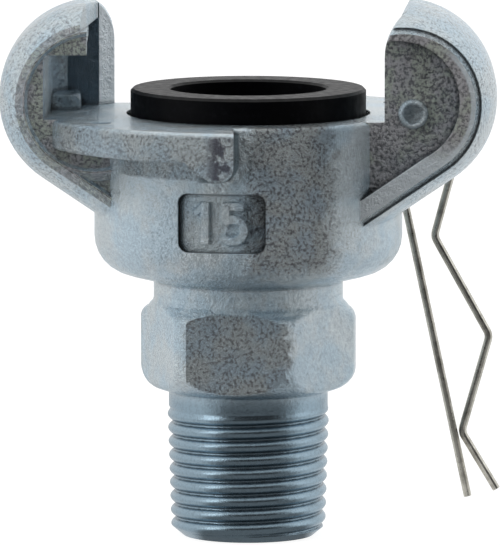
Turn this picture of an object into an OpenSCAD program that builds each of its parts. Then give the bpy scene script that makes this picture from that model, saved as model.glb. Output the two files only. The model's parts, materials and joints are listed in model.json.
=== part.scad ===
// Claw hose coupling with a male taper pipe end, a rubber face washer and a wire safety clip.
// Millimetres, +Z up. The origin is on the axis, in the plane of the pipe end.
// The two claws sit at +X and -X. A half turn about Z carries the casting onto itself,
// so two equal couplings lock together face to face with a quarter turn.

/* [Pipe end and hexagon] */
// Outside radius of the pipe thread where it meets the plain collar
thread_r = 10.6; // [10.2:0.1:10.9]
// Depth of the thread
thread_depth = 0.62; // [0.4:0.02:0.9]
// Distance from one turn of the thread to the next
thread_pitch = 1.814; // [1.7:0.002:2.2]
// Height of the threaded stretch above the pipe end
thread_h = 16.6; // [14:0.2:17]
// Bore through the pipe end
bore_r = 6.5; // [4:0.1:7.2]
// Width of the wrench hexagon across its flats
hex_af = 25.4; // [25:0.1:26.5]
// Height at which the hexagon starts to swell from the collar
hex_z0 = 18.9; // [18.2:0.1:19.4]
// Height of the top of the hexagon
hex_z1 = 30.6; // [29.6:0.1:31.4]
// Radius of the rounded hexagon corners
hex_corner_r = 14.0; // [13.6:0.1:14.5]

/* [Head] */
// Radius of the neck between hexagon and head
neck_r = 12.4; // [11.8:0.1:12.6]
// Height of the underside of the head
head_z0 = 33.9; // [33:0.1:35]
// Outside radius of the head
head_r = 20.15; // [19.8:0.05:20.6]
// Height of the flat face that meets the other coupling
face_z = 55.6; // [54.5:0.1:57]
// Radius of the waterway behind the washer
chamber_r = 9.5; // [8:0.1:10]

/* [Claws] */
// Distance from the axis to the centre of the round claw
lobe_x = 20.05; // [19.6:0.05:20.4]
// Height of that centre above the face
lobe_up = 2.3; // [1.8:0.1:2.8]
// Radius of the round claw
lobe_r = 12.45; // [12.2:0.05:13]
// Distance from the middle of the claw to its open side
open_y = 9.5; // [9:0.1:10.5]
// Distance from the middle of the claw to its closed side
closed_y = 14.0; // [13.6:0.1:14.6]
// Distance from the axis to the inner edge of the closed wall
wall_x = 17.65; // [17.2:0.05:18.2]
// Distance from the middle of the claw to the inside of the closed wall
wall_y = 10.0; // [9:0.1:10.4]
// Distance from the axis to the tip of the hooking lip
lip_x = 21.0; // [20.6:0.1:22]
// Height of the underside of the lip above the face
lip_up = 8.4; // [7.6:0.1:8.8]
// Depth of the lip, measured from the open side
lip_d = 4.5; // [3:0.1:6]
// Outer limit of the claw's pocket at its mouth
pocket_x = 26.7; // [26.4:0.1:27.1]
// Height of the pocket's ceiling above the face
pocket_up = 9.6; // [9:0.1:10.2]
// Radius of the ring of the cast dimple on the outside of the closed wall
dimple_r = 1.55; // [1.2:0.05:2]
// Distance that the outside of the closed wall lies behind its rim
wall_sink = 1.4; // [0.8:0.1:1.8]

/* [Cam ledges] */
// Width of the ledge, from the head to the edge that the other coupling's lip slides under
ledge_w = 6.85; // [6.3:0.05:7.0]
// Thickness of the ledge
ledge_t = 3.9; // [3:0.1:4.4]
// Thickness of the hump at the ledge's end, which the lip snaps over
hump_t = 6.4; // [5.4:0.1:7]
// Distance from the centre plane to the end of the ledge
ledge_end = 1.9; // [1:0.1:3]
// Radius of the clip hole through the ledge
clip_hole_r = 1.35; // [1.2:0.05:1.4]

/* [Washer] */
// Outside radius of the washer where it stands proud of the face
seal_r = 15.4; // [15:0.1:15.7]
// Thickness of the washer's wall, from its hole to its outside
seal_w = 5.15; // [4:0.05:5.6]
// Height of the washer above the face
seal_up = 3.3; // [2.6:0.1:3.8]
// Height of the groove that holds the washer's flange
groove_h = 2.8; // [2:0.1:3.4]

/* [Safety clip] */
// Radius of the spring wire
wire_r = 0.52; // [0.4:0.02:0.6]
// Distance of the clip behind the middle of the claw
clip_y = 13.0; // [12.4:0.1:13.4]
// Length of the clip from its arch to its tips
clip_len = 54.3; // [49:0.1:55]

/* [Size plaque] */
// Width of the sunken plaque
plaque_w = 11.3; // [9:0.1:12.5]
// Height of the sunken plaque
plaque_h = 7.7; // [6:0.1:8.4]
// Depth of the sunken plaque
plaque_d = 0.7; // [0.3:0.05:0.8]

/* [Hidden] */
$fn = 40;
eps = 0.01;
big = 2 * face_z;

lobe_z = face_z + lobe_up;
arm_a = 34;
arm_len = lobe_x - 3;
bead_w = 3.2;
rim_depth = 3.6;
rim_flat_r = lobe_r - bead_w;
ledge_r = head_r + ledge_w;
lip_end_y = open_y - lip_d;
ledge_z = face_z - ledge_t;
hump_z = face_z - hump_t;
edge_r = 0.6;
core_r = thread_r - thread_depth;
taper = 1 / 32;
core_end_r = core_r - thread_h * taper;
collar_up = 0.45;
collar_r = core_r + collar_up;
end_bevel = 1.3;
crest_half = 0.1;
flank_half = 0.8;
last_crest_z = thread_h - 2.03;
ridges = floor((last_crest_z - flank_half - 1) / thread_pitch);
hex_neck_z = hex_z1 - 0.1;
hex_turn = 51;
head_corner_r = 5;
wall_corner_r = 7;
wall_corner_up = 8.5;

seat_gap = 0.55;
seat_r = seal_r + seat_gap;
seat_d = 1.4;
flange_r = seal_r + 1.4;
flange_gap = 0.1;
groove_z = face_z - seat_d - groove_h;
seal_hole_r = seal_r - seal_w;

wall_face_y = closed_y - wall_sink;
dimple_x = 21.35;
dimple_up = 1.1;
dimple_wire = 0.42;
dimple_depth = 0.65;
wall_edge_w = 2.0;
lip_step = 0.85;
lip_top_up = 11.5;
roof_x = 19.8;
sunk_dx = -0.7;
sunk_up = 0.45;
sunk_r = 8.0;
sunk_in = 0.05;
ridge_up = 0.4;
ridge_r = 9.35;

clip_hole_in = 4.565;
clip_hole_x = sqrt(ledge_r * ledge_r - clip_y * clip_y) - clip_hole_in;
arch_in = 4.36;
arch_r = arch_in + wire_r;
arch_up = 1.28;
arch_top = face_z + arch_up + wire_r;
plaque_x = -3.4;
plaque_z = 43.2;

zinc = "#AEB8BE";
rubber = "#2A2C2E";
steel = "#8F8F88";

// Points along an ellipse in profile coordinates
function oval(cx, cy, a, b, t0, t1, n) =
    [for (i = [0:n]) let (t = t0 + (t1 - t0) * i / n) [cx + a * cos(t), cy + b * sin(t)]];

// Outer form of the casting below the face, without claws and ledges
module head_turned() {
    rotate_extrude()
    polygon(concat(
        [[0, hex_neck_z - 1], [neck_r, hex_neck_z - 1], [neck_r, head_z0 - 0.35], [neck_r + 0.5, head_z0]],
        oval(head_r - head_corner_r, head_z0 + head_corner_r + 0.7, head_corner_r, head_corner_r, -78, 0, 6),
        oval(head_r - edge_r, face_z - edge_r, edge_r, edge_r, 0, 90, 3),
        [[0, face_z]]
    ));
}

// Hexagon with turned shoulders and rounded corners
module hexagon() {
    intersection() {
        translate([0, 0, hex_z0 - eps]) rotate([0, 0, hex_turn])
            cylinder(r = hex_af / 2 / cos(30), h = hex_z1 - hex_z0 + 2 * eps, $fn = 6);
        rotate_extrude()
        polygon(concat(
            [[0, hex_z0 - eps], [collar_r, hex_z0 - eps], [collar_r + 0.15, hex_z0 + 0.3]],
            oval(hex_corner_r - 3.2, hex_z0 + 3.5, 3.2, 3.0, -75, 0, 5),
            oval(hex_corner_r - 1.5, hex_z1 - 1.9, 1.5, 1.6, 0, 70, 4),
            [[neck_r, hex_z1], [0, hex_z1]]
        ));
    }
}

// Ridges of the thread, drawn as level rings, from the lowest to the one that runs out in the collar
thread_points = [for (n = [ridges : -1 : -1])
    let (z = last_crest_z - n * thread_pitch,
         crest = min(thread_r - (thread_h - z) * taper, core_end_r - end_bevel + z),
         root = core_r - (thread_h - z) * taper)
    each [[root, z - flank_half], [crest, z - crest_half], [crest, z + crest_half], [root, z + flank_half]]];

// Pipe end with its lead-in, thread and plain collar
module pipe_end() {
    rotate_extrude()
    polygon(concat(
        [[0, 0], [core_end_r - end_bevel, 0], [core_end_r - end_bevel + 1, 1]],
        thread_points,
        [[collar_r, thread_h + 0.7], [collar_r, hex_z0 + 0.4], [0, hex_z0 + 0.4]]
    ));
}

// Section of the claw's rim: distance from the claw's centre line against depth
function rim() = concat(
    [[0, -open_y + 0.4], [rim_flat_r - 0.6, -open_y + 0.4], [rim_flat_r - 0.2, -open_y]],
    oval(rim_flat_r, -open_y + 6, lobe_r - rim_flat_r, 6, -90, 0, 5),
    oval(lobe_r - rim_depth, 1.5, rim_depth, 13, 0, asin((closed_y - ridge_up - 1.5) / 13), 6),
    [[ridge_r + 1.6 * ridge_up, closed_y - 1.6 * ridge_up], [ridge_r, closed_y], [0, closed_y]]
);

// The same section for the straight arm, carried on towards the head
function arm_section() = concat(
    [[-4, closed_y], [-4, -open_y + 0.4]],
    [for (p = rim()) if (p[0] > 0) p]
);

// Solid of one claw and its arm, at +X, before the pocket is cut
module claw_blank() {
    translate([lobe_x, 0, lobe_z]) rotate([90, 0, 0])
        rotate_extrude() polygon(rim());
    intersection() {
        translate([lobe_x, 0, lobe_z]) rotate([90, 0, 0]) rotate([0, 0, arm_a])
            rotate([0, -90, 0]) rotate([0, 0, -90])
            linear_extrude(height = arm_len) polygon(arm_section());
        translate([0, -big / 2, 0]) cube([big, big, face_z]);
    }
}

// Sunken outside of the closed wall: round in the claw, straight along the arm
module wall_face_cut() {
    translate([lobe_x + sunk_dx, -wall_face_y, lobe_z + sunk_up]) rotate([90, 0, 0])
    linear_extrude(height = big) {
        circle(r = sunk_r);
        rotate([0, 0, 180 + arm_a]) translate([0, -big]) square([arm_len + 6, big + sunk_r - sunk_in]);
    }
}

// Everything that is taken from the claw blank: the space over the face and the pocket
module claw_space() {
    // over the face, in front of the closed wall and inside the lip
    translate([-big, -wall_y, face_z]) cube([big + lip_x, big, lip_top_up + eps]);
    // past the inner edge of the closed wall
    translate([-big, -big, face_z]) cube([big + wall_x, 2 * big, big]);
    // the rim's end runs from the closed wall to the lip and stands back from it
    translate([0, 0, face_z + lip_top_up]) linear_extrude(height = big)
        polygon([
            [-big, -wall_y], [roof_x, -wall_y], [lip_x + lip_step, open_y],
            [lip_x + lip_step, big], [-big, big]
        ]);
    // bevelled front edge of the closed wall
    translate([wall_x, -wall_y, face_z]) linear_extrude(height = big)
        polygon([[-1, -wall_edge_w - 1], [wall_edge_w + 1, 1], [-1, 1]]);
    // rounded top corner of the closed wall
    translate([wall_x, 0, face_z + wall_corner_up]) rotate([90, 0, 0])
    translate([0, 0, -big / 2]) linear_extrude(height = big)
    difference() {
        translate([-1, 0]) square([wall_corner_r + 1, 12]);
        translate([wall_corner_r, 0]) circle(r = wall_corner_r);
        translate([wall_corner_r, -eps]) square([wall_corner_r, 12]);
    }
    // mouth of the pocket, drafted towards the closed wall
    translate([0, 0, face_z]) linear_extrude(height = lip_up) pocket_plan();
    // higher part behind the lip
    intersection() {
        translate([0, 0, face_z]) linear_extrude(height = pocket_up) pocket_plan();
        translate([0, lip_end_y - big, 0]) cube([big, big, big * 2]);
    }
}

// Raised ring and blind dimple on the outside of the closed wall
module dimple_ring() {
    translate([dimple_x, -wall_face_y, face_z + dimple_up]) rotate([90, 0, 0])
        rotate_extrude($fn = 20) translate([dimple_r, 0]) circle(r = dimple_wire, $fn = 8);
}

module dimple_cut() {
    hollow_r = 1.5 * dimple_r - dimple_wire;
    translate([dimple_x, -wall_face_y - hollow_r + dimple_depth, face_z + dimple_up])
        sphere(r = hollow_r, $fn = 20);
}

module pocket_plan() {
    polygon([
        [10, open_y + 4], [10, -wall_y], [pocket_x - 2.9, -wall_y],
        [pocket_x - 2.0, -wall_y + 0.7], [pocket_x - 1.2, -wall_y + 2.4],
        [pocket_x, open_y], [pocket_x, open_y + 4]
    ]);
}

// Low stop in the far corner of the pocket
module pocket_stop() {
    translate([pocket_x - 4.7, -wall_y - 1, face_z - 1]) cube([5, 8, 2.2]);
    translate([pocket_x - 3.9, -wall_y - 1, face_z - 1]) cube([4.2, 8, 3]);
    translate([pocket_x - 3.9, -wall_y + 7, face_z + 1.2]) rotate([90, 0, 0]) cylinder(r = 0.8, h = 8, $fn = 32);
}

// Ledge profile with rounded outer edges
module ledge_ring(z) {
    rotate_extrude()
    polygon(concat(
        [[head_r - 2, z]],
        oval(ledge_r - edge_r, z + edge_r, edge_r, edge_r, -90, 0, 3),
        oval(ledge_r - edge_r, face_z - edge_r, edge_r, edge_r, 0, 90, 3),
        [[head_r - 2, face_z]]
    ));
}

// Concave run between the head and what stands out from it
module ledge_root(z) {
    rotate_extrude()
    difference() {
        translate([head_r - 1, z - 1.2]) square([2.2, 1.3]);
        translate([head_r + 1.2, z - 1.2]) circle(r = 1.2);
    }
}

// One cam ledge with its hump, running from the open side of the +X claw
module ledge() {
    ramp_x0 = ledge_end + 4.1;
    intersection() {
        union() {
            ledge_ring(ledge_z);
            ledge_root(ledge_z);
        }
        translate([ramp_x0, open_y - 3, 0]) cube([big, big, big]);
    }
    intersection() {
        union() {
            ledge_ring(hump_z);
            ledge_root(hump_z);
        }
        translate([0, big, 0]) rotate([90, 0, 0]) linear_extrude(height = big - 8)
        polygon([
            [ledge_end, face_z + 1], [ledge_end, hump_z + 1.7], [ledge_end + 0.25, hump_z + 0.9],
            [ledge_end + 0.85, hump_z + 0.3], [ledge_end + 1.7, hump_z], [ledge_end + 2.8, hump_z],
            [ledge_end + 4.1, hump_z + 0.8], [ledge_end + 6.2, ledge_z],
            [ledge_end + 6.2, face_z + 1]
        ]);
    }
    // root of the hump's end, on the head
    intersection() {
        translate([ledge_end - 0.8, 0, hump_z - 0.6]) cube([1.2, head_r + 0.8, hump_t - 0.2]);
        difference() {
            translate([0, 0, hump_z - 0.6]) cylinder(r = head_r + 0.8, h = hump_t);
            translate([ledge_end - 0.8, head_r + 0.75, 0]) cylinder(r = 0.8, h = big * 2, $fn = 32);
        }
    }
}

// Hole in the ledge for the clip's straight leg
module clip_hole() {
    translate([clip_hole_x, clip_y, ledge_z - 3]) cylinder(r = clip_hole_r, h = ledge_t + 4, $fn = 48);
}

// Waterway, washer seat and groove
module inside() {
    rotate_extrude()
    polygon([
        [0, -1], [bore_r, -1], [bore_r, head_z0 - 1],
        [chamber_r, head_z0 + 5], [chamber_r, groove_z], [flange_r + flange_gap, groove_z],
        [flange_r + flange_gap, face_z - seat_d], [seat_r, face_z - seat_d],
        [seat_r, face_z + 1], [0, face_z + 1]
    ]);
}

// Rounded rectangle of the plaque, cut into the front of the head
module plaque_cut() {
    corner = 1.3;
    difference() {
        translate([plaque_x, 0, plaque_z]) rotate([90, 0, 0]) linear_extrude(height = big)
        union() {
            square([plaque_w, plaque_h - 2 * corner], center = true);
            square([plaque_w - 2 * corner, plaque_h], center = true);
            for (sx = [-1, 1], sz = [-1, 1])
                translate([sx * (plaque_w / 2 - corner), sz * (plaque_h / 2 - corner)])
                    circle(r = corner, $fn = 32);
        }
        cylinder(r = head_r - plaque_d, h = big * 2);
    }
}

module coupling_body() {
    color(zinc)
    difference() {
        union() {
            pipe_end();
            hexagon();
            head_turned();
            for (a = [0, 180]) rotate([0, 0, a]) {
                ledge();
                difference() {
                    claw_blank();
                    claw_space();
                    wall_face_cut();
                    dimple_cut();
                }
                dimple_ring();
                intersection() {
                    pocket_stop();
                    claw_blank();
                }
            }
        }
        inside();
        plaque_cut();
        for (a = [0, 180]) rotate([0, 0, a]) clip_hole();
    }
}

module face_washer() {
    top = face_z + seal_up;
    color(rubber)
    rotate_extrude()
    polygon([
        [seal_hole_r, groove_z], [flange_r, groove_z], [flange_r, face_z - seat_d - flange_gap],
        [seal_r, face_z - seat_d - flange_gap], [seal_r, top - 0.35], [seal_r - 0.35, top],
        [seal_hole_r + 0.3, top], [seal_hole_r, top - 0.3]
    ]);
}

// Corner points of the clip in its own plane, from the straight tip over the bend to the wavy tip
// The wavy leg's corners are shares of the clip's own length
clip_pts = [
    [clip_hole_x + 0.184 * clip_len, arch_top - clip_len],
    [clip_hole_x - 0.23 * arch_in - 1.24 * wire_r, arch_top],
    [clip_hole_x + 2.31 * arch_in + 1.3 * wire_r, arch_top],
    [clip_hole_x + 0.101 * clip_len, arch_top - 0.361 * clip_len],
    [clip_hole_x + 0.236 * clip_len, arch_top - 0.604 * clip_len],
    [clip_hole_x + 0.169 * clip_len, arch_top - 0.841 * clip_len],
    [clip_hole_x + 0.254 * clip_len, arch_top - 0.982 * clip_len]
];
wave_r = 0.03 * clip_len;
clip_bends = [0, arch_r, arch_r, wave_r, wave_r, wave_r, 0];

// Unit direction, turn and tangent length at corner i of a path
function dir2(p, q) = (q - p) / norm(q - p);
function turn(p, i) = let (u = dir2(p[i - 1], p[i]), v = dir2(p[i], p[i + 1]))
    atan2(u[0] * v[1] - u[1] * v[0], u[0] * v[0] + u[1] * v[1]);
function cut(p, r, i) = r[i] * tan(abs(turn(p, i)) / 2);

// Points and headings along a flat path whose corners are bent to the radii r
function bend(p, r, i) =
    let (t = turn(p, i), s = sign(t), u = dir2(p[i - 1], p[i]), a = p[i] - u * cut(p, r, i),
         c = a + [-u[1], u[0]] * s * r[i], h = atan2(u[1], u[0]), n = ceil(abs(t) / 11))
    [for (k = [0:n]) let (g = h + t * k / n) [c + r[i] * s * [sin(g), -cos(g)], g]];
function bent_path(p, r) = let (m = len(p) - 1) concat(
    [[p[0], let (u = dir2(p[0], p[1])) atan2(u[1], u[0])]],
    [for (i = [1:m - 1]) each bend(p, r, i)],
    [[p[m], let (u = dir2(p[m - 1], p[m])) atan2(u[1], u[0])]]
);

// Round wire swept along a flat path in the XZ plane
module bent_wire(p, r, sides = 12) {
    path = bent_path(p, r);
    m = len(path);
    points = [for (q = path) for (j = [0:sides - 1])
        let (v = 360 * j / sides, o = wire_r * cos(v))
        [q[0][0] - o * sin(q[1]), wire_r * sin(v), q[0][1] + o * cos(q[1])]];
    sleeve = [for (i = [0:m - 2]) for (j = [0:sides - 1]) let (k = (j + 1) % sides)
        [i * sides + j, i * sides + k, (i + 1) * sides + k, (i + 1) * sides + j]];
    polyhedron(points, concat(
        [[for (j = [sides - 1:-1:0]) j]], sleeve, [[for (j = [0:sides - 1]) (m - 1) * sides + j]]));
}

module safety_clip() {
    color(steel)
    translate([0, clip_y, 0]) bent_wire(clip_pts, clip_bends);
}

coupling_body();
face_washer();
safety_clip();
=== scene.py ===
import json
import math
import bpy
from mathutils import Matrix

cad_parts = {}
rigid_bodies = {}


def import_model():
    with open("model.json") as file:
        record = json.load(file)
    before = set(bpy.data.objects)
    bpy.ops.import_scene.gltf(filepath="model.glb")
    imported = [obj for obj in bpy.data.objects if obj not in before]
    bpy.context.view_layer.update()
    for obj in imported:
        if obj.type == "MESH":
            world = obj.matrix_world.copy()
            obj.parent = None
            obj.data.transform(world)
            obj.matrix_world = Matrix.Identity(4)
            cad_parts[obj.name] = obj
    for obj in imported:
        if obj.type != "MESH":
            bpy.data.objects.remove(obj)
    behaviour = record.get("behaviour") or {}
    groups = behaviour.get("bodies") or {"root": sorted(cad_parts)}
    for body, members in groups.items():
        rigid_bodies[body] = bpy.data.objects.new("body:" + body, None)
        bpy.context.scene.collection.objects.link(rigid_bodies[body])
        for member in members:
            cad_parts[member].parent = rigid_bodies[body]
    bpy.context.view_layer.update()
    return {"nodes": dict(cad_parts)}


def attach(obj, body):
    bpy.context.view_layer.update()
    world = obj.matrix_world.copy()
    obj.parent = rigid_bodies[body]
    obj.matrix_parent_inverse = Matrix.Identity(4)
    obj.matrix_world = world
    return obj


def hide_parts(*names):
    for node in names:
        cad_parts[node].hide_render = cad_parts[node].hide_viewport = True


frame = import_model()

from types import SimpleNamespace

import bmesh
import bpy
import numpy as np
from mathutils import Vector

MM = 0.001

# Sizes repeated from part.scad, in millimetres
THREAD_R = 10.6
THREAD_DEPTH = 0.62
THREAD_H = 16.6
THREAD_PITCH = 1.814
THREAD_TAPER = 1 / 32
CREST_Z = 15.03
COLLAR_R = THREAD_R - THREAD_DEPTH + 0.45
HEX_AF = 25.4
HEX_TURN = 51
HEX_Z0 = 18.9
HEX_Z1 = 30.6
NECK_R = 12.4
BORE_R = 6.5
HEAD_R = 20.15
FACE_Z = 55.6
LOBE_X = 20.05
LOBE_Z = FACE_Z + 2.3
OPEN_Y = 9.5
CLOSED_Y = 14.0
WALL_X = 17.65
WALL_Y = 10.0
WALL_EDGE_W = 2.0
WALL_SINK = 1.4
LEDGE_END = 1.9
HUMP_Z = 49.2
PLAQUE_X = -3.4
PLAQUE_Z = 43.2
PLAQUE_DEPTH = 0.7

# Sizes of the scene's own pieces, in millimetres
CUT_Z = 32.0
HEX_CORNER_R = 14.15
HEX_LOW_SHOULDER_R = 3.2
HEX_TOP_SHOULDER_R = 1.5
COLLAR_Z = THREAD_H + 0.8
END_R = 8.55
END_SLOPE = 1.2
FLANK = 0.8
BORE_CHAMFER = 0.35
AROUND = 180
NUMBER_W = 1.3
NUMBER_H = 0.42

# Camera of the photo, in pixels, millimetres and degrees
PHOTO_W = 500
FOCAL_PX = 9997.4
SENSOR_W = 36
CAMERA_AT = (0.22, -1300, 192.28)
CAMERA_DOWN = 6.919


# Mesh helpers
def add_mesh(name, points, faces, smooth_deg):
    """A new piece of the scene, smooth except at edges sharper than smooth_deg."""
    mesh = bpy.data.meshes.new(name)
    mesh.from_pydata([tuple(c * MM for c in p) for p in points], [], faces)
    mesh.validate()
    mesh.update()
    obj = bpy.data.objects.new(name, mesh)
    bpy.context.scene.collection.objects.link(obj)
    for poly in mesh.polygons:
        poly.use_smooth = True
    mesh.set_sharp_from_angle(angle=math.radians(smooth_deg))
    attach(obj, "root")


def loft(rings, closed_ends=True):
    """Points and faces of a tube through equal rings of points."""
    count = len(rings[0])
    points = [p for ring in rings for p in ring]
    faces = []
    for i in range(len(rings) - 1):
        for j in range(count):
            k = (j + 1) % count
            a, b = i * count, (i + 1) * count
            faces.append((a + j, a + k, b + k, b + j))
    if closed_ends:
        faces.append(tuple(range(count - 1, -1, -1)))
        last = (len(rings) - 1) * count
        faces.append(tuple(last + j for j in range(count)))
    return points, faces


def arc(cx, cz, rx, rz, a0, a1, count):
    """Points of an elliptical arc, from angle a0 to a1 in degrees."""
    angles = [math.radians(a0 + (a1 - a0) * i / count) for i in range(count + 1)]
    return [(cx + rx * math.cos(a), cz + rz * math.sin(a)) for a in angles]


# Node helpers
class Tree:
    """Short calls for building a node tree."""

    def __init__(self, tree):
        self.tree = tree
        tree.nodes.clear()

    def put(self, socket, value):
        if isinstance(value, bpy.types.NodeSocket):
            self.tree.links.new(value, socket)
        else:
            socket.default_value = value

    def add(self, kind, inputs=None, **settings):
        node = self.tree.nodes.new(kind)
        for key, value in settings.items():
            setattr(node, key, value)
        for key, value in (inputs or {}).items():
            self.put(node.inputs[key], value)
        return node

    def math(self, op, a, b=0.0, c=0.0):
        return self.add("ShaderNodeMath", {0: a, 1: b, 2: c}, operation=op).outputs[0]

    def product(self, first, *others):
        for other in others:
            first = self.math("MULTIPLY", first, other)
        return first

    def length(self, a, b):
        squares = self.math("ADD", self.product(a, a), self.product(b, b))
        return self.math("SQRT", squares)

    def ramp(self, value, low, high, out_low=0.0, out_high=1.0):
        """Smooth step of value from low to high."""
        node = self.add("ShaderNodeMapRange", {
            "Value": value, "From Min": low, "From Max": high, "To Min": out_low, "To Max": out_high,
        }, interpolation_type="SMOOTHSTEP", clamp=True)
        return node.outputs["Result"]

    def slab(self, value, centre, half, soft=0.05):
        """1 where value is within half of centre."""
        away = self.math("ABSOLUTE", self.math("SUBTRACT", value, centre))
        return self.ramp(away, half, half + soft, 1.0, 0.0)

    def noise(self, vector, scale, detail=3.0, rough=0.5):
        node = self.add("ShaderNodeTexNoise", {
            "Vector": vector, "Scale": scale, "Detail": detail, "Roughness": rough})
        return node.outputs["Fac"]

    def mix(self, factor, a, b):
        node = self.add("ShaderNodeMix", data_type="RGBA")
        for socket, value in ((node.inputs[0], factor), (node.inputs[6], a), (node.inputs[7], b)):
            self.put(socket, value)
        return node.outputs[2]

    def true_normal(self):
        """X, Y and Z of the flat face's own direction."""
        normal = self.add("ShaderNodeNewGeometry").outputs["True Normal"]
        return self.add("ShaderNodeSeparateXYZ", {0: normal}).outputs

    def object_mm(self):
        """Position on the object in millimetres."""
        coords = self.add("ShaderNodeTexCoord").outputs["Object"]
        return self.add("ShaderNodeVectorMath", {0: coords, "Scale": 1 / MM}, operation="SCALE").outputs[0]


def colour(r, g, b):
    return (r, g, b, 1.0)


def new_material(name):
    mat = bpy.data.materials.new(name)
    mat.use_nodes = True
    return mat, Tree(mat.node_tree)


# Zinc plated iron, cast and turned
def zinc_place(t):
    """Where a point of the casting lies. Along runs from the ledges (-) to the closed walls (+)."""
    pos = t.object_mm()
    x, y, z = t.add("ShaderNodeSeparateXYZ", {0: pos}).outputs
    abs_x = t.math("ABSOLUTE", x)
    abs_y = t.math("ABSOLUTE", y)
    facing = t.math("ABSOLUTE", t.true_normal()[1])
    along = t.product(x, t.math("SIGN", t.product(y, -1.0)))
    return SimpleNamespace(pos=pos, z=z, abs_x=abs_x, abs_y=abs_y, facing=facing, along=along)


def raw_faces(t, at):
    """Upright faces of the claws: the open side's rim and the sunken outside of the closed wall."""
    open_side = t.slab(at.abs_y, OPEN_Y - 0.2, 0.45)
    sunken = t.slab(at.abs_y, CLOSED_Y - WALL_SINK, 0.45)
    on_arm = t.product(t.ramp(at.abs_x, 14.5, 15.5), t.ramp(at.z, 40.0, 43.0))
    upright = t.ramp(at.facing, 0.93, 0.98)
    return t.product(upright, on_arm, t.math("MAXIMUM", open_side, sunken))


def skin_and_shade_mask(t, at, lumps):
    """Rough casting with painted shade: on both broad sides of the head, on two hexagon flats and on the
    ledges' edges. The mask raises the bumps and specks of the rough casting and darkens its colour; the
    darkening is painted shade, for the dark reflection of the front on these faces.
    """
    wavy = t.math("MULTIPLY_ADD", t.math("SUBTRACT", lumps, 0.5), 3.0, at.along)
    on_head = t.product(t.ramp(wavy, -1.8, 1.8), t.ramp(wavy, 12.8, 8.8), t.ramp(at.z, 35.0, 38.0))
    flat_x, flat_z = -1.9, 24.9
    on_flat = t.product(t.ramp(at.facing, 0.80, 0.95), t.slab(at.z, flat_z, 5.2, 0.6))
    on_flat = t.product(on_flat, t.slab(wavy, flat_x, 7.0, 0.4), 0.8)
    on_ledge = t.product(t.ramp(wavy, -1.0, -2.5), t.slab(at.z, FACE_Z - 3.6, 3.0, 0.5))
    on_ledge = t.product(on_ledge, t.ramp(at.abs_y, 10.5, 13.0), 0.5)
    return t.math("MAXIMUM", t.math("MAXIMUM", on_head, on_flat), on_ledge)


def plated_colour(t, at, cast, skin_and_shade):
    """Blue zinc in soft patches with dark specks, denser on the rough casting and on the claws; on the
    rough casting the blue turns to a darker dull grey as painted shade.
    """
    patch = t.noise(at.pos, 0.16, 4.0, 0.55)
    blue = t.mix(t.ramp(patch, 0.38, 0.62), colour(0.56, 0.69, 0.78), colour(0.64, 0.72, 0.76))
    blue = t.mix(cast, colour(0.31, 0.42, 0.50), blue)
    dull = t.mix(t.ramp(patch, 0.40, 0.56), colour(0.26, 0.31, 0.35), colour(0.29, 0.31, 0.31))
    # painted shade: the rough casting's faces are mixed towards a darker, duller grey
    blue = t.mix(t.product(skin_and_shade, 0.85), blue, dull)
    speck = t.ramp(t.noise(at.pos, 2.6, 4.0, 0.65), 0.50, 0.60)
    spotted = t.math("MULTIPLY_ADD", skin_and_shade, 0.65, t.ramp(at.abs_x, 19.0, 24.0, 0.14, 0.42))
    return t.mix(t.product(speck, spotted), blue, colour(0.09, 0.09, 0.10))


def raw_colour(t, at, grain):
    """Dark cast iron with olive and violet tints."""
    tint = t.ramp(t.noise(at.pos, 0.35, 2.0), 0.42, 0.6)
    tint = t.mix(tint, colour(0.58, 0.56, 0.58), colour(0.56, 0.60, 0.52))
    return t.mix(t.ramp(grain, 0.40, 0.56), colour(0.15, 0.14, 0.145), tint)


def ledge_end_colour(t, at, base):
    """Groove round the ledge's rounded end, darkened with painted shade, and the dark spots inside it."""
    corner_r = 2.1
    past = t.math("MAXIMUM", t.math("SUBTRACT", at.along, -LEDGE_END - corner_r), 0.0)
    below = t.math("MAXIMUM", t.math("SUBTRACT", HUMP_Z + corner_r, at.z), 0.0)
    edge = t.math("SUBTRACT", t.length(past, below), corner_r)
    outside = t.product(t.ramp(at.abs_y, 10.5, 13.0), t.ramp(at.along, -7.2, -5.6))
    outside = t.product(outside, t.ramp(at.z, FACE_Z - 0.3, FACE_Z - 0.7))
    spots = t.ramp(t.noise(at.pos, 0.55, 4.0, 0.6), 0.40, 0.50)
    spots = t.product(spots, t.ramp(edge, -0.2, -0.6), outside, t.ramp(at.along, -6.0, -4.0))
    # painted shade: a dark band in the fillet round the rounded end, where it meets the head
    groove_shade = t.product(outside, t.slab(edge, 0.35, 0.2, 0.3))
    base = t.mix(t.product(spots, 0.85), base, colour(0.07, 0.07, 0.10))
    return t.mix(t.product(groove_shade, 0.8), base, colour(0.12, 0.17, 0.20))


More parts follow.
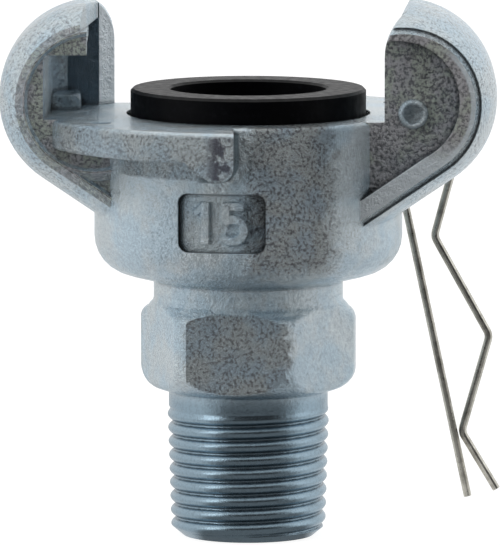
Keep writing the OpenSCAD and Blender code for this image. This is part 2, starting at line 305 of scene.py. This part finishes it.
def claw_colour(t, at, base, raw_look):
    """Painted highlight on the ridge and the inner edge of the closed wall, and painted shadow on the back
    of the pocket.
    """
    on_claw = t.product(t.ramp(at.abs_x, 14.0, 14.5), t.ramp(at.z, 42.5, 43.0))
    ridge = t.product(t.slab(at.abs_y, CLOSED_Y - 0.05, 0.3, 0.1), t.ramp(at.facing, 0.85, 0.95))
    bevel = t.product(t.slab(at.facing, math.sqrt(0.5), 0.05), t.ramp(at.z, FACE_Z, FACE_Z + 0.4))
    bevel = t.product(bevel, t.slab(at.abs_y, WALL_Y + WALL_EDGE_W / 2, 1.3))
    bevel = t.product(bevel, t.slab(at.abs_x, WALL_X + WALL_EDGE_W / 2, 1.3))
    bright = t.product(t.math("MAXIMUM", ridge, bevel), on_claw)
    # painted highlight: the ridge and the wall's inner bevel are mixed towards near white
    base = t.mix(t.product(bright, 0.8), base, colour(0.90, 0.96, 1.0))
    # raw metal left on the inner half of the ridge and on its top
    from_lobe = t.length(t.math("SUBTRACT", at.abs_x, LOBE_X), t.math("SUBTRACT", at.z, LOBE_Z))
    inner_half = t.product(t.ramp(from_lobe, 8.95, 8.6), t.ramp(at.z, 50.0, 54.0))
    inner_half = t.math("MAXIMUM", inner_half, t.ramp(at.z, 63.0, 66.0))
    inner_half = t.product(inner_half, ridge, on_claw)
    base = t.mix(t.product(inner_half, 0.85), base, raw_look)
    # painted shadow: the upright back face inside the pocket is mixed towards dark blue-grey
    back = t.product(t.slab(at.abs_y, WALL_Y, 0.1), t.ramp(at.facing, 0.93, 0.98))
    back = t.product(back, on_claw, t.ramp(at.along, 0.0, 1.0))
    return t.mix(t.product(back, 0.75), base, colour(0.08, 0.13, 0.18)), bright


# Painted shade: creases and corners that ambient occlusion finds are darkened towards near black.
def corner_shade(t, base):
    corner = t.add("ShaderNodeAmbientOcclusion", {"Distance": 1.1 * MM}, samples=8, only_local=True)
    open_part = t.ramp(corner.outputs["AO"], 0.35, 0.85, 0.15, 1.0)
    return t.mix(open_part, colour(0.02, 0.022, 0.025), base)


def zinc_material():
    mat, t = new_material("zinc_cast")
    at = zinc_place(t)
    # 1 on the rough casting, 0 on the turned thread
    cast = t.ramp(at.z, THREAD_H + 0.9, HEX_Z0 + 2.1)
    lumps = t.noise(at.pos, 0.5, 3.0, 0.5)
    grain = t.noise(at.pos, 2.2, 5.0, 0.7)
    raw = raw_faces(t, at)
    skin_and_shade = skin_and_shade_mask(t, at, lumps)

    raw_look = raw_colour(t, at, grain)
    base = t.mix(t.product(raw, 0.85), plated_colour(t, at, cast, skin_and_shade), raw_look)
    base = ledge_end_colour(t, at, base)
    base, bright = claw_colour(t, at, base, raw_look)
    base = corner_shade(t, base)

    rough = t.math("MULTIPLY_ADD", raw, 0.14, t.ramp(cast, 0.0, 1.0, 0.27, 0.18))
    rough = t.math("MULTIPLY_ADD", bright, 0.3, rough)

    amount = t.math("MULTIPLY_ADD", cast, 0.55, 0.08)
    amount = t.math("MULTIPLY_ADD", skin_and_shade, 0.55, amount)
    amount = t.math("MULTIPLY_ADD", raw, 0.6, amount)
    height = t.product(t.math("MULTIPLY_ADD", lumps, 1.2, grain), amount)
    bevel = t.add("ShaderNodeBevel", {"Radius": 0.3 * MM}, samples=6)
    bump = t.add("ShaderNodeBump", {
        "Strength": 1.0, "Distance": 0.42 * MM, "Height": height, "Normal": bevel.outputs[0]})
    shader = t.add("ShaderNodeBsdfPrincipled", {
        "Base Color": base, "Metallic": 1.0, "Roughness": rough, "Normal": bump.outputs[0]})
    t.add("ShaderNodeOutputMaterial", {"Surface": shader.outputs[0]})
    return mat


def rubber_material():
    mat, t = new_material("washer_rubber_look")
    pos = t.object_mm()
    dust = t.ramp(t.noise(pos, 1.1, 4.0, 0.6), 0.5, 0.8)
    base = t.mix(dust, colour(0.002, 0.002, 0.003), colour(0.006, 0.006, 0.008))
    rough = t.ramp(t.noise(pos, 0.9, 3.0), 0.3, 0.7, 0.42, 0.56)
    height = t.noise(pos, 5.0, 3.0, 0.6)
    bump = t.add("ShaderNodeBump", {"Strength": 0.5, "Distance": 0.03 * MM, "Height": height})
    # the upright sides shine less than the moulded top
    shine = t.ramp(t.true_normal()[2], 0.2, 0.9, 0.08, 0.30)
    shader = t.add("ShaderNodeBsdfPrincipled", {
        "Base Color": base, "Roughness": rough, "Specular IOR Level": shine, "Normal": bump.outputs[0]})
    t.add("ShaderNodeOutputMaterial", {"Surface": shader.outputs[0]})
    return mat


def wire_material():
    mat, t = new_material("spring_wire_look")
    pos = t.object_mm()
    dull = t.ramp(t.noise(pos, 0.6, 4.0, 0.6), 0.4, 0.7)
    base = t.mix(dull, colour(0.66, 0.645, 0.58), colour(0.40, 0.385, 0.34))
    rough = t.ramp(t.noise(pos, 2.0, 3.0), 0.3, 0.7, 0.26, 0.44)
    bump = t.add("ShaderNodeBump", {
        "Strength": 0.4, "Distance": 0.02 * MM, "Height": t.noise(pos, 6.0, 3.0)})
    shader = t.add("ShaderNodeBsdfPrincipled", {
        "Base Color": base, "Metallic": 1.0, "Roughness": rough, "Normal": bump.outputs[0]})
    t.add("ShaderNodeOutputMaterial", {"Surface": shader.outputs[0]})
    return mat


# Casting, pipe end and number
def casting_piece():
    """The casting as the CAD has it, down to the neck."""
    source = frame["nodes"]["coupling_body"]
    obj = source.copy()
    obj.data = source.data.copy()
    obj.name = "casting"
    bpy.context.scene.collection.objects.link(obj)
    work = bmesh.new()
    work.from_mesh(obj.data)
    to_object = source.matrix_world.inverted()
    cut = to_object @ Vector((0, 0, CUT_Z * MM))
    up = (to_object.to_3x3() @ Vector((0, 0, 1))).normalized()
    bmesh.ops.bisect_plane(
        work, geom=work.verts[:] + work.edges[:] + work.faces[:],
        plane_co=cut, plane_no=up, clear_inner=True, dist=1e-7)
    work.to_mesh(obj.data)
    work.free()
    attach(obj, "root")
    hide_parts("coupling_body")


def thread_radius(angle, z):
    """Radius of the right-hand pipe thread at an angle and a height."""
    core = THREAD_R - THREAD_DEPTH - (THREAD_H - z) * THREAD_TAPER
    turn = (z - CREST_Z) / THREAD_PITCH - angle / (2 * math.pi)
    away = abs(turn - round(turn)) * THREAD_PITCH
    rounded = math.cos(min(away / FLANK, 1.0) * math.pi / 2) ** 0.8
    radius = core + THREAD_DEPTH * rounded
    # run-out into the collar, and the lead-in at the end
    fade = min(max((z - (THREAD_H - 0.4)) / 0.9, 0.0), 1.0)
    radius = radius * (1 - fade) + COLLAR_R * fade
    return min(radius, END_R + END_SLOPE * z)


def hexagon_profile():
    """Heights and radii of the turned shoulders, from the collar over the hexagon to the neck."""
    low_x = HEX_CORNER_R - HEX_LOW_SHOULDER_R
    top_x = HEX_CORNER_R - HEX_TOP_SHOULDER_R
    low = arc(low_x, HEX_Z0 + 3.5, HEX_LOW_SHOULDER_R, 3.0, -75, 0, 5)
    top = arc(top_x, HEX_Z1 - 1.9, HEX_TOP_SHOULDER_R, 1.6, 0, 70, 5)
    points = [(COLLAR_R, COLLAR_Z), (COLLAR_R, HEX_Z0), (COLLAR_R + 0.2, HEX_Z0 + 0.3)]
    points += low + top
    points += [(NECK_R + 0.5, HEX_Z1), (NECK_R + 0.12, HEX_Z1 + 0.35)]
    points += [(NECK_R, HEX_Z1 + 0.8), (NECK_R, CUT_Z)]
    return [p[1] for p in points], [p[0] for p in points]


def hexagon_radius(angle, turned):
    """Radius of the hexagon at an angle, inside the turned profile."""
    off_flat = (math.degrees(angle) - HEX_TURN) % 60 - 30
    return min(HEX_AF / 2 / math.cos(math.radians(off_flat)), turned)


def pipe_end_piece():
    """Pipe end with its thread as one helix, and the wrench hexagon, up to the neck."""
    angles = math.radians(HEX_TURN) + np.arange(AROUND) * 2 * math.pi / AROUND

    def ring(radii, z):
        return [(r * math.cos(a), r * math.sin(a), z) for r, a in zip(radii, angles)]

    rings = [
        ring([BORE_R] * AROUND, CUT_Z),
        ring([BORE_R] * AROUND, BORE_CHAMFER),
        ring([BORE_R + BORE_CHAMFER] * AROUND, 0.0),
    ]
    for z in np.arange(0.0, COLLAR_Z - 0.05, 0.065):
        rings.append(ring([thread_radius(a, z) for a in angles], z))
    levels, turned = hexagon_profile()
    for z in np.arange(COLLAR_Z, CUT_Z + 0.01, 0.2):
        shoulder = float(np.interp(z, levels, turned))
        rings.append(ring([hexagon_radius(a, shoulder) for a in angles], z))
    points, faces = loft(rings, closed_ends=False)
    add_mesh("pipe_thread", points, faces, 50)


def on_plaque(across, height, above):
    """A point on the sunken plaque, raised above its curved floor."""
    x = PLAQUE_X + across
    r = HEAD_R - PLAQUE_DEPTH + above
    return (x, -math.sqrt(r * r - x * x), PLAQUE_Z + height)


def stroke(name, path, width, height):
    """A raised stroke on the sunken plaque, along a path in its plane."""
    profile = ((-0.5, -0.15), (-0.5, 0.45), (-0.36, 1.0), (0.36, 1.0), (0.5, 0.45), (0.5, -0.15))
    path = [np.array(p, float) for p in path]
    rings = []
    for i, p in enumerate(path):
        before = path[max(i - 1, 0)]
        after = path[min(i + 1, len(path) - 1)]
        along = (after - before) / np.linalg.norm(after - before)
        side = np.array([-along[1], along[0]])
        stretch = 1.0
        if 0 < i < len(path) - 1:
            incoming = (p - before) / np.linalg.norm(p - before)
            stretch = 1 / max(abs(float(incoming @ along)), 0.7)
        edges = [(p + side * across * width * stretch, up * height) for across, up in profile]
        rings.append([on_plaque(q[0], q[1], above) for q, above in edges])
    points, faces = loft(rings)
    add_mesh(name, points, faces, 30)


def plaque_numbers():
    """A plain size number, drawn for this part."""
    stroke("number_one", [(-2.2, -2.75), (-2.2, 2.75)], NUMBER_W, NUMBER_H)
    stroke("number_one_flag", [(-3.5, 1.3), (-2.3, 2.3)], NUMBER_W * 0.8, NUMBER_H * 0.98)
    bowl = [(0.45, 0.35)] + arc(1.35, -0.9, 1.5, 1.45, 128, -150, 18)
    stroke("number_five_bowl", bowl, NUMBER_W, NUMBER_H)
    stroke("number_five_top", [(0.1, 2.2), (2.75, 2.2)], NUMBER_W, NUMBER_H * 0.97)
    stroke("number_five_stem", [(0.45, 2.3), (0.45, 0.1)], NUMBER_W, NUMBER_H * 1.02)


# Stage, light and camera
def studio_level(t, x, y):
    """Brightness of the studio by direction: dark behind the camera, bright at the sides and the back."""
    around = t.math("ARCTAN2", x, t.product(y, -1.0))
    left = t.ramp(around, math.radians(-32), math.radians(-60))
    right = t.ramp(around, math.radians(43), math.radians(86))
    side = t.math("MAXIMUM", t.product(left, 0.82), t.product(right, 0.93))
    return t.math("ADD", side, 0.04)


def floor_material():
    """Pale floor that the camera sees as white and the metal mirrors as the studio."""
    mat, t = new_material("floor_pale")
    coords = t.add("ShaderNodeTexCoord").outputs["Object"]
    x, y = t.add("ShaderNodeSeparateXYZ", {0: coords}).outputs[:2]
    light = t.add("ShaderNodeLightPath").outputs
    mirrored = t.math("MAXIMUM", light["Is Glossy Ray"], light["Is Transmission Ray"])
    away = t.add("ShaderNodeVectorMath", {0: coords}, operation="LENGTH").outputs["Value"]
    near = t.ramp(away, 0.45, 0.10, 0.0, 0.26)
    mirrored = t.product(mirrored, t.math("MAXIMUM", studio_level(t, x, y), near))
    seen = t.math("MAXIMUM", mirrored, light["Is Camera Ray"])
    plain = t.math("SUBTRACT", 1.0, light["Is Glossy Ray"])
    pale = t.mix(plain, colour(0, 0, 0), colour(0.26, 0.26, 0.26))
    matt = t.add("ShaderNodeBsdfDiffuse", {"Color": pale})
    glow = t.add("ShaderNodeEmission", {"Color": colour(1, 1, 1), "Strength": t.product(seen, 0.9)})
    both = t.add("ShaderNodeAddShader", {0: matt.outputs[0], 1: glow.outputs[0]})
    t.add("ShaderNodeOutputMaterial", {"Surface": both.outputs[0]})
    return mat


def studio_world():
    """White to the camera, the studio's own levels to everything else."""
    world = bpy.data.worlds.new("studio")
    bpy.context.scene.world = world
    world.use_nodes = True
    t = Tree(world.node_tree)
    direction = t.add("ShaderNodeTexCoord").outputs["Generated"]
    x, y, z = t.add("ShaderNodeSeparateXYZ", {0: direction}).outputs
    top = t.ramp(z, 0.55, 0.85, 0.0, 0.7)
    level = t.math("MAXIMUM", studio_level(t, x, y), top)
    light = t.add("ShaderNodeLightPath").outputs
    level = t.math("MAXIMUM", level, light["Is Camera Ray"])
    shade = t.add("ShaderNodeBackground", {"Color": colour(1, 1, 1), "Strength": level})
    t.add("ShaderNodeOutputWorld", {"Surface": shade.outputs[0]})


def softbox(name, where, width, height, power):
    """A soft lamp that points at the middle of the part."""
    lamp = bpy.data.lights.new(name, "AREA")
    lamp.shape = "RECTANGLE"
    lamp.size = width
    lamp.size_y = height
    lamp.energy = power
    obj = bpy.data.objects.new(name, lamp)
    bpy.context.scene.collection.objects.link(obj)
    obj.location = where
    aim = Vector((0, 0, 0.035))
    obj.rotation_euler = (aim - Vector(where)).to_track_quat("-Z", "Y").to_euler()


def camera():
    data = bpy.data.cameras.new("photo_camera")
    data.sensor_fit = "HORIZONTAL"
    data.sensor_width = SENSOR_W
    data.lens = FOCAL_PX / PHOTO_W * SENSOR_W
    data.clip_start = 0.05
    data.clip_end = 50
    obj = bpy.data.objects.new("photo_camera", data)
    bpy.context.scene.collection.objects.link(obj)
    obj.location = [c * MM for c in CAMERA_AT]
    obj.rotation_euler = (math.radians(90 - CAMERA_DOWN), 0, 0)
    bpy.context.scene.camera = obj


def stage():
    bpy.ops.mesh.primitive_plane_add(size=12, location=(0, 0, 0))
    ground = bpy.context.object
    ground.name = "floor"
    ground.data.materials.append(floor_material())
    studio_world()
    softbox("key_left", (-0.62, -0.38, 0.38), 0.25, 0.6, 0.7)
    softbox("fill_right", (0.75, -0.10, 0.25), 0.25, 0.5, 0.12)
    softbox("top", (0.0, 0.1, 0.8), 0.6, 0.6, 0.5)
    camera()
    bpy.context.scene.view_settings.view_transform = "Standard"


# Materials on the CAD pieces
looks = {
    "coupling_body": zinc_material(),
    "face_washer": rubber_material(),
    "safety_clip": wire_material(),
}
for node, look in looks.items():
    obj = frame["nodes"][node]
    obj.data.materials.clear()
    obj.data.materials.append(look)

# The casting with its thread as a helix and its raised number
casting_piece()
pipe_end_piece()
plaque_numbers()
for obj in bpy.context.scene.objects:
    if obj.name.startswith(("pipe_thread", "number_")):
        obj.data.materials.append(looks["coupling_body"])

stage()
